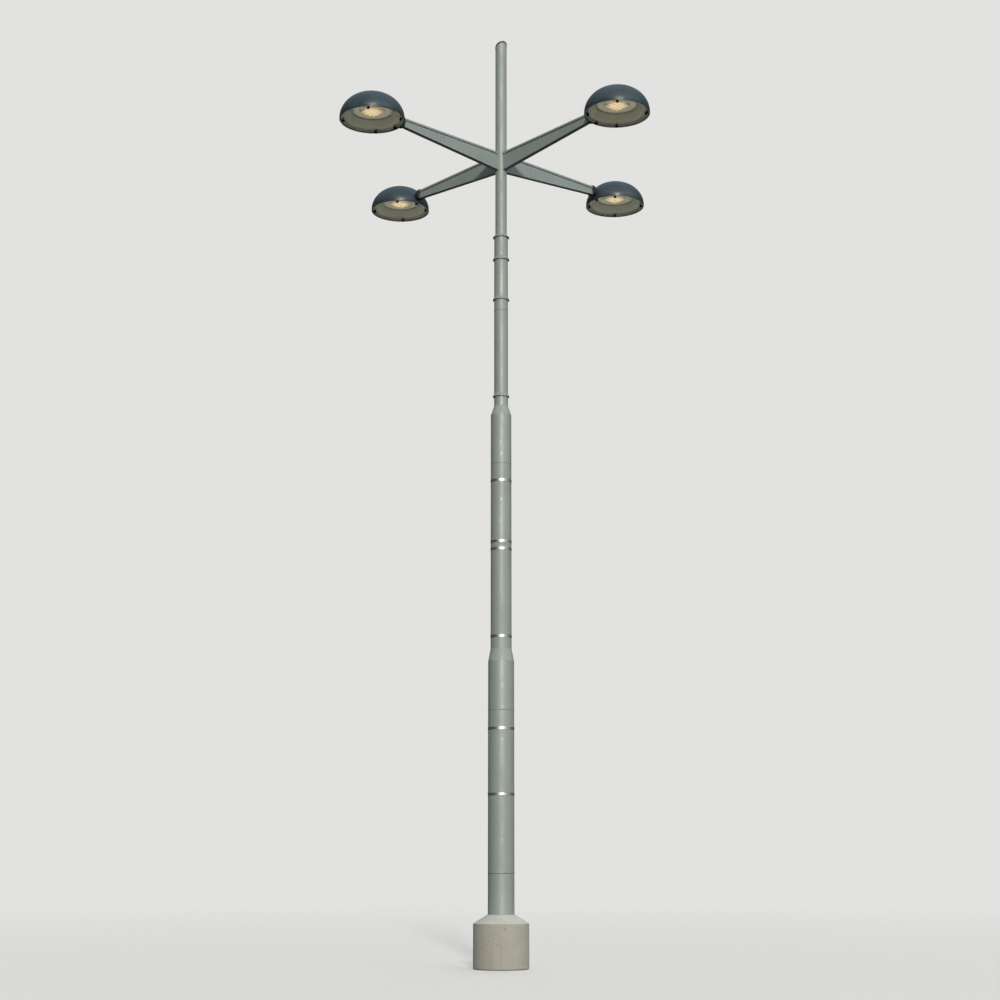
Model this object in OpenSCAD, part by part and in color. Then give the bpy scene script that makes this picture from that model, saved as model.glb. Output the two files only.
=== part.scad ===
// Four-head street light: a stepped tube mast on a concrete plinth, with four
// tapered arms in a cross, each carrying a round domed luminaire.
// Millimetres. The origin is the centre of the plinth's underside, +Z is up,
// and the arms run along the X and Y axes.

/* [Plinth] */
// Diameter of the concrete plinth
plinth_d = 460; // [400:5:600]
// Height of the plinth's straight side
plinth_side_h = 361; // [250:1:500]
// Height of the plinth's sloped top
plinth_slope_h = 71; // [40:1:120]
// Width of the flat ring round the mast at the top of the slope
plinth_land = 5; // [2:1:30]
// Bevel round the plinth's foot
plinth_bevel = 8; // [2:1:20]
// Depth to which the mast stands in the plinth
socket_depth = 300; // [200:5:340]

/* [Mast] */
// Outer diameter of the bottom tube
bottom_d = 219.1; // [190:0.1:235]
// Length of the bottom tube above the plinth
bottom_len = 2075; // [1700:5:2600]
// Height of the cone between the bottom and middle tubes
lower_cone_h = 105; // [60:1:200]
// Outer diameter of the middle tube
middle_d = 177.8; // [145:0.1:185]
// Length of the middle tube
middle_len = 2038; // [1650:1:2600]
// Height of the cone between the middle and upper tubes
upper_cone_h = 84; // [50:1:150]
// Outer diameter of the upper tube
upper_d = 121; // [115:0.1:140]
// Length of the upper tube
upper_len = 1547; // [1300:1:2000]
// Outer diameter of the top tube
top_d = 101.6; // [80:0.1:108]
// Length of the top tube above the upper tube, on its axis
top_len = 1834; // [1500:1:2300]
// Length of the top tube that stands inside the upper tube
top_overlap = 150; // [80:5:300]
// Wall of the bottom tube and of the lower cone
bottom_wall = 5.6; // [4:0.1:10]
// Wall of the middle tube and of the upper cone
middle_wall = 5; // [3:0.1:8]
// Wall of the upper tube
upper_wall = 4; // [3:0.1:6]
// Wall of the top tube
top_wall = 3.6; // [2.5:0.1:6]

/* [Mast trim] */
// How far a raised collar stands out from the upper tube
collar_proud = 12; // [8:0.5:20]
// Height of a collar
collar_h = 30; // [20:1:45]
// Height of the collar's thin outer edge
collar_edge_h = 5; // [3:1:10]
// Distance of the three lower collars below the upper tube's end
collar_drops = [209, 582, 1466];
// Height of a polished band
band_h = 22; // [12:1:40]
// How far a polished band stands proud of its tube
band_proud = 1.8; // [1:0.1:4]
// Heights of the bands above the plinth, on the bottom tube
bottom_bands = [959, 1500];
// Heights of the bands above the foot of the middle tube
middle_bands = [93, 841, 906, 1438];
// Slope of the cut across the top of the mast, in degrees
cap_slope = 30; // [0:1:40]
// Direction in which that cut rises, in degrees from the right arm
cap_turn = -15; // [-180:5:180]
// Thickness of the plate that closes the mast
cap_t = 14; // [4:1:20]
// How far the closing plate stands proud of the tube
cap_proud = 1.5; // [0.5:0.1:4]
// Diameter of the cable holes from the mast into the arms
cable_hole_d = 24; // [14:1:30]

/* [Arms] */
// Height of the arms' top edge above the upper tube's end
arm_rise = 798; // [600:1:1000]
// Depth of an arm at the mast's axis
arm_root_depth = 170; // [130:1:220]
// Depth of an arm at its outer end
arm_tip_depth = 77; // [70:1:110]
// Width of the arm's box web
arm_web_w = 36; // [34:1:50]
// How far the arm's top flange stands out from the web
arm_flange_proud = 5; // [3:0.5:10]
// Height of the arm's top flange
arm_flange_h = 17; // [12:1:24]
// Height of the groove under the flange
arm_groove_h = 8; // [4:1:12]
// Depth of the groove into each side of the web
arm_groove_depth = 4; // [2:0.5:6]
// Height of the lip along the arm's lower edge
arm_lip_h = 10; // [5:1:16]
// How far the lip stands out from the web
arm_lip_proud = 2; // [1:0.5:4]
// Plate thickness of the arm
arm_wall = 4; // [3:0.5:5]

/* [Luminaires] */
// Distance from the mast's axis to the centre of a luminaire
head_reach = 1456; // [1200:1:1800]
// Outer diameter of a luminaire
head_d = 550; // [460:5:680]
// Height of a luminaire from its rim to the top of its dome
head_h = 232; // [200:1:300]
// Height of a luminaire's rim below the arms' top edge
head_drop = 112; // [104:1:120]
// Wall of the dome
dome_wall = 3; // [2:0.5:5]
// Height of the rim ring
rim_h = 12; // [11:1:20]
// Wall of the rim ring
rim_wall = 2.5; // [2:0.5:4]
// Width of the lip that the rim ring carries under the glass
rim_lip_w = 6; // [4:0.5:12]
// Thickness of that lip
rim_lip_t = 2; // [1.5:0.5:3]
// Thickness of the glass
glass_t = 5; // [4:0.5:6]
// Width of the pan's flange on the glass
pan_flange_w = 10; // [6:1:20]
// Radius of the pan's flat ceiling
pan_ceiling_r = 180; // [130:1:190]
// Height of the pan's ceiling above the rim
pan_ceiling_h = 88; // [70:1:110]
// Sheet thickness of the pan
pan_t = 2; // [1:0.5:3]
// Side of the square lamp module
lamp_side = 156; // [100:1:180]
// Thickness of the lamp module
lamp_t = 12; // [8:1:24]
// Radius of the lamp module's corners
lamp_corner_r = 8; // [2:1:20]
// Directions of the glass screws, with 0 away from the mast
screw_turns = [45, 135, 180, 225, 315];
// Distance of the screws inside the mouth of the pan
screw_inset = 19; // [14:1:26]
// Diameter of a screw's shank
screw_d = 6; // [4:1:8]
// Height of a screw's conical cap
screw_cap_h = 13; // [6:1:16]
// Diameter of that cap at the glass
screw_cap_d = 29; // [16:1:34]
// Diameter of that cap at its lower end
screw_cap_tip_d = 14; // [8:1:16]
// Width of the hexagon socket in the cap
screw_hex = 5; // [3:0.5:6]
// Depth of that socket
screw_hex_depth = 4; // [2:0.5:6]
// Diameter of the bosses that take the screws in the pan
boss_d = 15; // [10:1:18]
// Diameter of the round plate on the arm's outer end
end_plate_d = 106; // [92:1:116]
// Thickness of that plate
end_plate_t = 16; // [8:1:20]
// Clear space between that plate and the rim ring
end_plate_gap = 27; // [10:1:40]
// Diameter of the neck where it leaves the plate
neck_d = 74; // [50:1:80]
// Diameter of the neck at the dome
neck_tip_d = 62; // [40:1:70]
// Bore through the neck, for the supply
neck_bore_d = 24; // [14:1:36]

/* [Hidden] */
$fn = 96;

seat = 0.3;              // clearance between round pieces that seat on each other
past = 1;                // how far a cutting shape runs past what it cuts
dome_steps = 24;         // rings in the dome's curve
flare_steps = 6;         // rings in a collar's flare
flare_bend = 1.5;        // how hollow that flare is, with 1 for a straight cone
crown_t = 1.5;           // thickness of a collar at its upper end

// directions of the four arms, as turns about the mast
to_right = 0;
to_back = 90;
to_left = 180;
to_front = 270;

bottom_r = bottom_d / 2;
middle_r = middle_d / 2;
upper_r = upper_d / 2;
top_r = top_d / 2;

plinth_h = plinth_side_h + plinth_slope_h;
lower_cone_z = plinth_h + bottom_len;
middle_z = lower_cone_z + lower_cone_h;
upper_cone_z = middle_z + middle_len;
upper_z = upper_cone_z + upper_cone_h;
upper_end_z = upper_z + upper_len;
top_cut_z = upper_end_z + top_len;

arm_top_z = upper_end_z + arm_rise;
rim_z = arm_top_z - head_drop;
head_r = head_d / 2;
arm_end_x = head_reach - head_r - end_plate_gap - end_plate_t;
neck_z = arm_top_z - arm_tip_depth / 2;

dome_h = head_h - rim_h;
neck_rise = neck_z - rim_z;
glass_r = head_r - rim_wall - seat;
pan_z = rim_lip_t + glass_t + seat;
pan_mouth_r = glass_r - pan_flange_w;
pan_slope = (pan_ceiling_h - pan_z) / (pan_mouth_r - pan_ceiling_r);
pan_wall_shift = pan_t * tan(atan(pan_slope) / 2);
screw_r = screw_d / 2;
screw_circle_r = pan_mouth_r - screw_inset;
boss_depth = (screw_inset - screw_r) * pan_slope - 2;

// ---- shared shapes ----

// a straight tube that stands on the height z
module tube(z, length, outer_r, wall) {
    translate([0, 0, z])
        difference() {
            cylinder(r = outer_r, h = length);
            translate([0, 0, -past])
                cylinder(r = outer_r - wall, h = length + 2 * past);
        }
}

// a hollow cone that joins two tubes, with the wall of each at its end
module reducer(z, height, foot_r, foot_wall, crown_r, crown_wall) {
    translate([0, 0, z])
        rotate_extrude()
            polygon([
                [foot_r - foot_wall, 0],
                [foot_r, 0],
                [crown_r, height],
                [crown_r - crown_wall, height]
            ]);
}

// a ring round the mast, standing on the height z
module ring(z, inner_r, outer_r, height) {
    translate([0, 0, z])
        difference() {
            cylinder(r = outer_r, h = height);
            translate([0, 0, -past])
                cylinder(r = inner_r, h = height + 2 * past);
        }
}

// a collar: a ring that flares out to a thin edge at its foot
module collar(z, inner_r) {
    collar_r = upper_r + collar_proud;
    crown_r = inner_r + crown_t;
    flare_h = collar_h - collar_edge_h;
    translate([0, 0, z])
        rotate_extrude()
            polygon(concat(
                [[inner_r, 0], [collar_r, 0]],
                [
                    for (i = [0:flare_steps])
                        [
                            crown_r + (collar_r - crown_r) * pow(1 - i / flare_steps, flare_bend),
                            collar_edge_h + flare_h * i / flare_steps
                        ]
                ],
                [[inner_r, collar_h]]
            ));
}

// everything above the slanted plane across the mast's top, from height z up
module above_cut(z, depth) {
    reach = 3 * top_d;
    translate([0, 0, z])
        rotate([0, -cap_slope, cap_turn])
            translate([-reach / 2, -reach / 2, 0])
                cube([reach, reach, depth]);
}

// a bar with the given side outline, centred on the arm's middle plane
module side_bar(outline, width) {
    translate([0, width / 2, 0])
        rotate([90, 0, 0])
            linear_extrude(height = width)
                polygon(outline);
}

// height of an arm's lower edge at the distance x from the mast's axis
function arm_bottom_z(x) =
    arm_top_z - arm_root_depth + (arm_root_depth - arm_tip_depth) * x / arm_end_x;

// side outline of a strip between a level edge and a line over the lower edge
function arm_outline(x0, x1, high_z, over) = [
    [x0, arm_bottom_z(x0) + over],
    [x1, arm_bottom_z(x1) + over],
    [x1, high_z],
    [x0, high_z]
];

// quarter ellipse from the rim up to the crown, in radius and height
function dome_curve(radius, height, z) = [
    for (i = [0:dome_steps])
        [radius * cos(90 * i / dome_steps), z + height * sin(90 * i / dome_steps)]
];

function reversed(points) = [for (i = [len(points) - 1:-1:0]) points[i]];

// puts a luminaire's piece at the end of the arm in one direction
module at_head(turn) {
    rotate([0, 0, turn])
        translate([head_reach, 0, rim_z])
            children();
}

// ---- mast ----

module plinth() {
    plinth_r = plinth_d / 2;
    color("#b3b0a4")
        difference() {
            rotate_extrude()
                polygon([
                    [0, 0],
                    [plinth_r - plinth_bevel, 0],
                    [plinth_r, plinth_bevel],
                    [plinth_r, plinth_side_h],
                    [bottom_r + plinth_land, plinth_h],
                    [0, plinth_h]
                ]);
            translate([0, 0, plinth_h - socket_depth])
                cylinder(r = bottom_r + seat, h = socket_depth + past);
        }
}

module bottom_tube() {
    color("#9fa9a1")
        tube(plinth_h - socket_depth, bottom_len + socket_depth, bottom_r, bottom_wall);
}

module lower_reducer() {
    color("#a9b2aa")
        reducer(lower_cone_z, lower_cone_h, bottom_r, bottom_wall, middle_r, middle_wall);
}

module middle_tube() {
    color("#9fa9a1")
        tube(middle_z, middle_len, middle_r, middle_wall);
}

module upper_reducer() {
    color("#a9b2aa")
        reducer(upper_cone_z, upper_cone_h, middle_r, middle_wall, upper_r, upper_wall);
}

module upper_tube() {
    color("#9fa9a1")
        tube(upper_z, upper_len, upper_r, upper_wall);
}

module top_tube() {
    slack = top_d;
    color("#9fa9a1")
        difference() {
            tube(upper_end_z - top_overlap, top_overlap + top_len + slack, top_r, top_wall);
            above_cut(top_cut_z, 4 * slack);
            for (turn = [to_right, to_back, to_left, to_front])
                rotate([0, 0, turn])
                    translate([0, 0, arm_top_z - arm_root_depth / 2])
                        rotate([0, 90, 0])
                            cylinder(r = cable_hole_d / 2, h = top_d);
        }
}

module mast_cap() {
    color("#7d8580")
        intersection() {
            above_cut(top_cut_z, cap_t);
            translate([0, 0, top_cut_z - top_d])
                cylinder(r = top_r + cap_proud, h = 2 * top_d + cap_t);
        }
}

module collar_rings() {
    color("#97a199") {
        collar(upper_end_z, top_r + seat);
        for (drop = collar_drops)
            collar(upper_end_z - drop, upper_r + seat);
    }
}

module polished_bands() {
    color("#d5d8d6") {
        for (rise = bottom_bands)
            ring(plinth_h + rise, bottom_r + seat, bottom_r + band_proud, band_h);
        for (rise = middle_bands)
            ring(middle_z + rise, middle_r + seat, middle_r + band_proud, band_h);
    }
}

// ---- arms ----

// the arm's outer form: flange, groove, tapered web and lower lip
module arm_form() {
    groove_z = arm_top_z - arm_flange_h;
    web_z = groove_z - arm_groove_h;
    flange_w = arm_web_w + 2 * arm_flange_proud;
    side_bar(arm_outline(0, arm_end_x, web_z, 0), arm_web_w);
    side_bar(arm_outline(0, arm_end_x, groove_z, 0), arm_web_w - 2 * arm_groove_depth);
    translate([0, -flange_w / 2, groove_z])
        cube([arm_end_x, flange_w, arm_flange_h]);
    side_bar([
            [0, arm_bottom_z(0)],
            [arm_end_x, arm_bottom_z(arm_end_x)],
            [arm_end_x, arm_bottom_z(arm_end_x) + arm_lip_h],
            [0, arm_bottom_z(0) + arm_lip_h]
        ],
        arm_web_w + 2 * arm_lip_proud);
}

// the arm's hollow, open at both ends
module arm_hollow() {
    groove_z = arm_top_z - arm_flange_h;
    web_z = groove_z - arm_groove_h;
    end_x = arm_end_x + past;
    room_w = arm_web_w + 2 * arm_flange_proud - 2 * arm_wall;
    side_bar(arm_outline(-past, end_x, web_z - arm_wall, arm_wall), arm_web_w - 2 * arm_wall);
    side_bar(arm_outline(-past, end_x, groove_z + arm_wall, arm_wall),
        arm_web_w - 2 * arm_groove_depth - 2 * arm_wall);
    translate([-past, -room_w / 2, groove_z + arm_wall])
        cube([end_x + past, room_w, arm_flange_h - 2 * arm_wall]);
}

module arm(turn) {
    color("#96a19a")
        rotate([0, 0, turn])
            difference() {
                arm_form();
                arm_hollow();
                translate([0, 0, arm_top_z - 2 * arm_root_depth])
                    cylinder(r = top_r + seat, h = 3 * arm_root_depth);
            }
}

// round end plate and neck, cut to seat on the dome
module neck(turn) {
    neck_end = arm_end_x + end_plate_t + head_r / 2;
    color("#4b5153")
        rotate([0, 0, turn])
            difference() {
                translate([arm_end_x, 0, neck_z])
                    rotate([0, 90, 0])
                        rotate_extrude()
                            polygon([
                                [neck_bore_d / 2, 0],
                                [end_plate_d / 2, 0],
                                [end_plate_d / 2, end_plate_t],
                                [neck_d / 2, end_plate_t],
                                [neck_tip_d / 2, neck_end - arm_end_x],
                                [neck_bore_d / 2, neck_end - arm_end_x]
                            ]);
                translate([head_reach, 0, rim_z])
                    rotate_extrude()
                        polygon(concat(
                            [[0, -head_h], [head_r + seat, -head_h]],
                            dome_curve(head_r + seat, dome_h + seat, rim_h)
                        ));
            }
}

// ---- luminaires ----

module dome(turn) {
    color("#46565f")
        at_head(turn)
            difference() {
                rotate_extrude()
                    polygon(concat(
                        dome_curve(head_r, dome_h, rim_h),
                        reversed(dome_curve(head_r - dome_wall, dome_h - dome_wall, rim_h))
                    ));
                translate([-head_r - past, 0, neck_rise])
                    rotate([0, 90, 0])
                        cylinder(r = neck_bore_d / 2, h = head_r);
            }
}

// the rim ring, with a lip turned in under the glass
module rim(turn) {
    wall_r = head_r - rim_wall;
    color("#6c7473")
        at_head(turn)
            rotate_extrude()
                polygon([
                    [wall_r - rim_lip_w, 0],
                    [head_r - 1, 0],
                    [head_r, 1],
                    [head_r, rim_h],
                    [wall_r, rim_h],
                    [wall_r, rim_lip_t],
                    [wall_r - rim_lip_w, rim_lip_t]
                ]);
}

// puts a piece at each screw's place round a luminaire
module at_screws() {
    for (screw_turn = screw_turns)
        rotate([0, 0, screw_turn])
            translate([screw_circle_r, 0, 0])
                children();
}

// the room under the middle of the pan's sheet
module pan_room() {
    rotate_extrude()
        polygon([
            [0, pan_z],
            [pan_mouth_r + pan_wall_shift / 2, pan_z],
            [pan_mouth_r + pan_wall_shift / 2, pan_z + pan_t / 2],
            [pan_ceiling_r + pan_wall_shift / 2, pan_ceiling_h + pan_t / 2],
            [0, pan_ceiling_h + pan_t / 2]
        ]);
}

module pan_sheet() {
    rotate_extrude()
        polygon([
            [0, pan_ceiling_h],
            [pan_ceiling_r, pan_ceiling_h],
            [pan_mouth_r, pan_z],
            [glass_r, pan_z],
            [glass_r, pan_z + pan_t],
            [pan_mouth_r + pan_wall_shift, pan_z + pan_t],
            [pan_ceiling_r + pan_wall_shift, pan_ceiling_h + pan_t],
            [0, pan_ceiling_h + pan_t]
        ]);
}

// the formed pan, with a bored boss for each screw under its wall
module pan(turn) {
    color("#c9c8b8")
        at_head(turn)
            difference() {
                union() {
                    pan_sheet();
                    intersection() {
                        pan_room();
                        at_screws()
                            translate([0, 0, pan_z])
                                cylinder(r = boss_d / 2, h = pan_ceiling_h);
                    }
                }
                at_screws()
                    translate([0, 0, pan_z - past])
                        cylinder(r = screw_r + seat, h = past + boss_depth);
            }
}

module lamp(turn) {
    corner = lamp_side / 2 - lamp_corner_r;
    color("#ead1a8")
        at_head(turn)
            translate([0, 0, pan_ceiling_h - lamp_t]) {
                translate([-corner, -lamp_side / 2, 0])
                    cube([2 * corner, lamp_side, lamp_t]);
                translate([-lamp_side / 2, -corner, 0])
                    cube([lamp_side, 2 * corner, lamp_t]);
                for (x = [-corner, corner])
                    for (y = [-corner, corner])
                        translate([x, y, 0])
                            cylinder(r = lamp_corner_r, h = lamp_t);
            }
}

module glass(turn) {
    color("#a8b5ae", 0.35)
        at_head(turn)
            difference() {
                translate([0, 0, rim_lip_t])
                    cylinder(r = glass_r, h = glass_t);
                at_screws()
                    cylinder(r = screw_r + past, h = pan_z + past);
            }
}

// a screw: a conical cap with a hexagon socket, and a shank up into the boss
module glass_screw() {
    difference() {
        union() {
            translate([0, 0, rim_lip_t - screw_cap_h])
                cylinder(r1 = screw_cap_tip_d / 2, r2 = screw_cap_d / 2, h = screw_cap_h);
            cylinder(r = screw_r, h = pan_z + boss_depth - 2 * past);
        }
        translate([0, 0, rim_lip_t - screw_cap_h - past])
            cylinder(r = screw_hex / 2 / cos(30), h = past + screw_hex_depth, $fn = 6);
    }
}

module screws(turn) {
    color("#1b1c1d")
        at_head(turn)
            at_screws()
                glass_screw();
}

plinth();
bottom_tube();
lower_reducer();
middle_tube();
upper_reducer();
upper_tube();
top_tube();
mast_cap();
collar_rings();
polished_bands();
arm(to_right);  // arm_right
arm(to_back);  // arm_back
arm(to_left);  // arm_left
arm(to_front);  // arm_front
neck(to_right);  // neck_right
neck(to_back);  // neck_back
neck(to_left);  // neck_left
neck(to_front);  // neck_front
dome(to_right);  // dome_right
dome(to_back);  // dome_back
dome(to_left);  // dome_left
dome(to_front);  // dome_front
rim(to_right);  // rim_right
rim(to_back);  // rim_back
rim(to_left);  // rim_left
rim(to_front);  // rim_front
pan(to_right);  // pan_right
pan(to_back);  // pan_back
pan(to_left);  // pan_left
pan(to_front);  // pan_front
lamp(to_right);  // lamp_right
lamp(to_back);  // lamp_back
lamp(to_left);  // lamp_left
lamp(to_front);  // lamp_front
glass(to_right);  // glass_right
glass(to_back);  // glass_back
glass(to_left);  // glass_left
glass(to_front);  // glass_front
screws(to_right);  // screws_right
screws(to_back);  // screws_back
screws(to_left);  // screws_left
screws(to_front);  // screws_front
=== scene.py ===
"""Looks of a four-head street light: paint, concrete, enamel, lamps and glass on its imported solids."""

import math

import bmesh
import bpy
from bpy.props import FloatProperty, FloatVectorProperty, PointerProperty
from mathutils import Matrix, Vector


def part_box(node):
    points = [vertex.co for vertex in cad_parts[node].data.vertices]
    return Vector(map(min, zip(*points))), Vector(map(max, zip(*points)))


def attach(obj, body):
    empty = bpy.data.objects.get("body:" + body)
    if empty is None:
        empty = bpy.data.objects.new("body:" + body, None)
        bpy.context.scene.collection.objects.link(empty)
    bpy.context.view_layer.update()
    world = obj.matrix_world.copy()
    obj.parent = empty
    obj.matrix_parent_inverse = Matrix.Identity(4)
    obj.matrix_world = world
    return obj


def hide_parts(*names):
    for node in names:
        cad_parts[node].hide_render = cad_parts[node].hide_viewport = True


bl_info = {
    "name": "Four-Head Street Light",
    "version": (1, 0, 0),
    "blender": (4, 5, 0),
    "location": "3D View > Sidebar > Street Light",
    "description": "Finishes a four-head street light on a stepped mast",
    "category": "Add Mesh",
}

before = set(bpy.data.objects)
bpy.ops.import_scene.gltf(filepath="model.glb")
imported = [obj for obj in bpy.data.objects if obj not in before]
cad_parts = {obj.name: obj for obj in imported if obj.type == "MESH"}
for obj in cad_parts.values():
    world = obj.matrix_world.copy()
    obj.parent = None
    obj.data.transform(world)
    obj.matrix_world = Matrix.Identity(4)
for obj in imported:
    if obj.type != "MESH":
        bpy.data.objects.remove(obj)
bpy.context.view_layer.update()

BODY = "root"
DIRECTIONS = ("right", "back", "left", "front")
QUARTER = math.pi / 2
MM = 0.001


def srgb(red, green, blue):
    """A colour given in 0 to 255 steps of a display, as the linear values that shaders take."""
    def linear(step):
        value = step / 255
        return value / 12.92 if value <= 0.04045 else ((value + 0.055) / 1.055) ** 2.4
    return (linear(red), linear(green), linear(blue))


def scaled(colour, factor):
    """A colour with each of its values times the factor."""
    return tuple(factor * value for value in colour)


def node_size(node):
    """Length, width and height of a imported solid."""
    low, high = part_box(node)
    return [high[i] - low[i] for i in range(3)]


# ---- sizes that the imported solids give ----

RIM_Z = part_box("rim_right")[0][2]
RIM_TOP_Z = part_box("rim_right")[1][2]
HEAD_REACH = (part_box("rim_right")[1][0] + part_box("rim_right")[0][0]) / 2
HEAD_R = node_size("rim_right")[0] / 2
DOME_TOP_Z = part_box("dome_right")[1][2]
LAMP_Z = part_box("lamp_right")[0][2]
LAMP_SIDE = node_size("lamp_right")[0]
CEILING_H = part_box("lamp_right")[1][2] - RIM_Z
PLINTH_R = node_size("plinth")[0] / 2
PLINTH_H = node_size("plinth")[2]

# ---- sizes and tints that stay as they are ----

CEILING_R = 0.180
LENS_PITCH = 0.039  # four lenses in a row
# the dark line under each seam is painted shade: a dark ring where the seam's shade falls
SEAMS = (  # height of each seam and width of the dark line under it
    ("bottom_tube", ((0.765, 3.0 * MM), (2.098, 1.3 * MM))),
    ("middle_tube", ((4.215, 1.2 * MM),)),
    ("upper_tube", ((5.602, 1.2 * MM),)),
)

PLINTH_CLEARANCE = 0.0003
PLINTH_TURNS = 380
PLINTH_SEED = 11.5
PIT_SCALE = 46.0
PATCH_SCALE = 13.0  # of the clusters that the pits stand in
PATCH_FROM = 0.52
PATCH_TO = PATCH_FROM + 0.08

SKY_TINT = (0.84, 1.0, 1.03)
# the sky as glossy pieces mirror it: tint and share of the sky's strength, high up and low down
MIRROR_TINT, MIRROR_SHARE = (0.68, 0.90, 1.06), 0.73
MIRROR_FOOT_TINT, MIRROR_FOOT_SHARE = (0.95, 1.0, 0.92), 0.13
MIRROR_RISE = (0.4, 0.95)

FLOOR_SIZE = 80
SUN_DISTANCE = 20
COLUMN_WIDTH = 220  # of the nodes in a tree's editor
ROW_HEIGHT = 200


# ---- what a user may change ----

def colour_prop(name, description, value):
    return FloatVectorProperty(
        name=name, description=description, default=value, size=3, min=0, max=1, subtype="COLOR"
    )


def length_prop(name, description, value):
    return FloatProperty(
        name=name, description=description, default=value, min=0, subtype="DISTANCE", unit="LENGTH"
    )


def angle_prop(name, description, degrees):
    return FloatProperty(
        name=name, description=description, default=math.radians(degrees),
        subtype="ANGLE", unit="ROTATION",
    )


def number_prop(name, description, value, low=0.0, high=100.0):
    return FloatProperty(name=name, description=description, default=value, min=low, max=high)


class MastLook(bpy.types.PropertyGroup):
    """Sizes and colours of the plinth and the mast"""
    paint: colour_prop("Paint", "Colour of the mast's paint", srgb(156, 162, 154))
    cap: colour_prop("Cap", "Colour of the plate that closes the mast", srgb(84, 88, 85))
    concrete: colour_prop("Concrete", "Colour of the plinth's side", srgb(185, 178, 167))
    # painted light: the plinth's sloped top is given a paler colour than its side, for the light that
    # falls on it from above
    lit_crown: colour_prop("Plinth top", "Colour of the plinth's sloped top", srgb(206, 203, 196))
    plinth_side: length_prop("Side height", "Height of the plinth's straight side", 0.361)
    plinth_land: length_prop("Land", "Width of the flat ring round the mast", 0.0047)
    plinth_edge: length_prop("Foot bevel", "Bevel round the plinth's foot", 0.008)
    plinth_grain: length_prop("Grain", "Distance between the points of the plinth's surface", 0.0032)
    wave_depth: length_prop("Wave depth", "Depth of the concrete's unevenness", 0.0012)
    pit_depth: length_prop("Pit depth", "Depth of the pits in the concrete", 0.0035)
    seam_proud: length_prop("Seam height", "How far a seam stands out from its tube", 0.0015)
    seam_width: length_prop("Seam width", "Width of a seam round the mast", 0.006)


class HeadLook(bpy.types.PropertyGroup):
    """Sizes and colours of the arms and the luminaires"""
    arm_paint: colour_prop("Arm paint", "Colour of the arms", srgb(153, 159, 156))
    casting: colour_prop("Casting", "Colour of the end plates and necks", srgb(60, 64, 63))
    enamel: colour_prop("Dome enamel", "Colour of the domes", srgb(47, 62, 73))
    rim: colour_prop("Rim", "Colour of the rim rings outside", srgb(56, 68, 76))
    # painted light: the inner lip is painted lighter than the ring outside, for the light that catches it
    lit_rim_lip: colour_prop("Rim lip", "Colour of the rims' bare inner lip", srgb(150, 150, 138))
    pan: colour_prop("Pan wall", "Colour of the pans' sloped wall", srgb(171, 167, 144))
    # painted light: the ceiling's colour is the pan's own paint made lighter, as lit by the lamp
    ceiling: colour_prop("Pan ceiling", "Colour of the ceiling round the lamp", srgb(244, 240, 219))
    lamp: colour_prop("Lamp light", "Colour of the lamps' light", srgb(255, 226, 182))
    lamp_strength: number_prop("Lamp strength", "Strength of the lamps' light", 0.88)
    lens_pitch: length_prop("Lens pitch", "Distance between two lenses of a lamp", LENS_PITCH)
    lens_r: length_prop("Lens radius", "Radius of a lens", 0.0172)
    lens_drop: length_prop("Lens drop", "How far a lens hangs from its board", 0.0085)
    dome_wall: length_prop("Dome wall", "Wall of the domes", 0.003)
    glass: colour_prop("Glass", "Tint of the glass", (0.80, 0.80, 0.76))
    frost: colour_prop("Frost", "Tint of the glass's frosted zone", (0.84, 0.86, 0.82))
    frost_inner: length_prop("Frost inside", "Inner radius of the frosted zone", 0.1998)
    # painted highlight: the line's lighter tint stands for the light caught by the frosted zone's inner
    # edge
    line: colour_prop("Line", "Tint of the line along the frosted zone", (1.0, 1.0, 0.97))
    line_width: length_prop("Line width", "Width of that line", 0.006)


class StageLook(bpy.types.PropertyGroup):
    """Camera, lights and floor"""
    distance: length_prop("Distance", "Distance of the camera from the mast's axis", 14.283)
    height: length_prop("Height", "Height of the camera over the floor", 0.8687)
    azimuth: angle_prop("Azimuth", "Side from which the camera looks", 48.27)
    pitch: angle_prop("Pitch", "How far the camera looks up", 11.98)
    turn: angle_prop("Turn", "How far the camera looks to the left of the mast", 0.038)
    lens: number_prop("Lens", "Focal length of the camera, in millimetres", 61.06, 1.0, 500.0)
    key_side: angle_prop("Key side", "Side from which the key light comes", 54.5)
    key_rise: angle_prop("Key rise", "Height of the key light over the horizon", 19)
    key_strength: number_prop("Key strength", "Strength of the key light", 1.75)
    sky_strength: number_prop("Sky strength", "Strength of the sky's light", 0.53)
    dark_side: number_prop("Dark side", "Share of the sky's light missing on the left", 0.4, 0.0, 1.0)
    floor: colour_prop("Floor", "Colour of the floor as seen", srgb(214, 206, 202))
    floor_glow: colour_prop("Floor glow", "Glow that evens the floor out as seen", srgb(128, 126, 124))
    floor_bounce: colour_prop("Floor bounce", "Colour of the light it throws back", srgb(74, 74, 71))
    backdrop: colour_prop("Backdrop", "Colour of the background", srgb(226, 226, 224))
    fade_from: length_prop("Fade from", "Where the floor begins to take the background's colour", 2.5)
    fade_to: length_prop("Fade to", "Distance at which the floor has the background's colour", 22)


# ---- helpers: objects ----

def to_scene(name, mesh):
    made = bpy.data.objects.new(name, mesh)
    bpy.context.scene.collection.objects.link(made)
    return made


def dense_profile(corners, step):
    """Points along a profile, no further apart than the step, with its corners kept."""
    points = []
    for (x0, z0), (x1, z1) in zip(corners, corners[1:]):
        count = max(1, math.ceil(math.hypot(x1 - x0, z1 - z0) / step))
        for i in range(count):
            points.append((x0 + (x1 - x0) * i / count, z0 + (z1 - z0) * i / count))
    return points + [corners[-1]]


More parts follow.
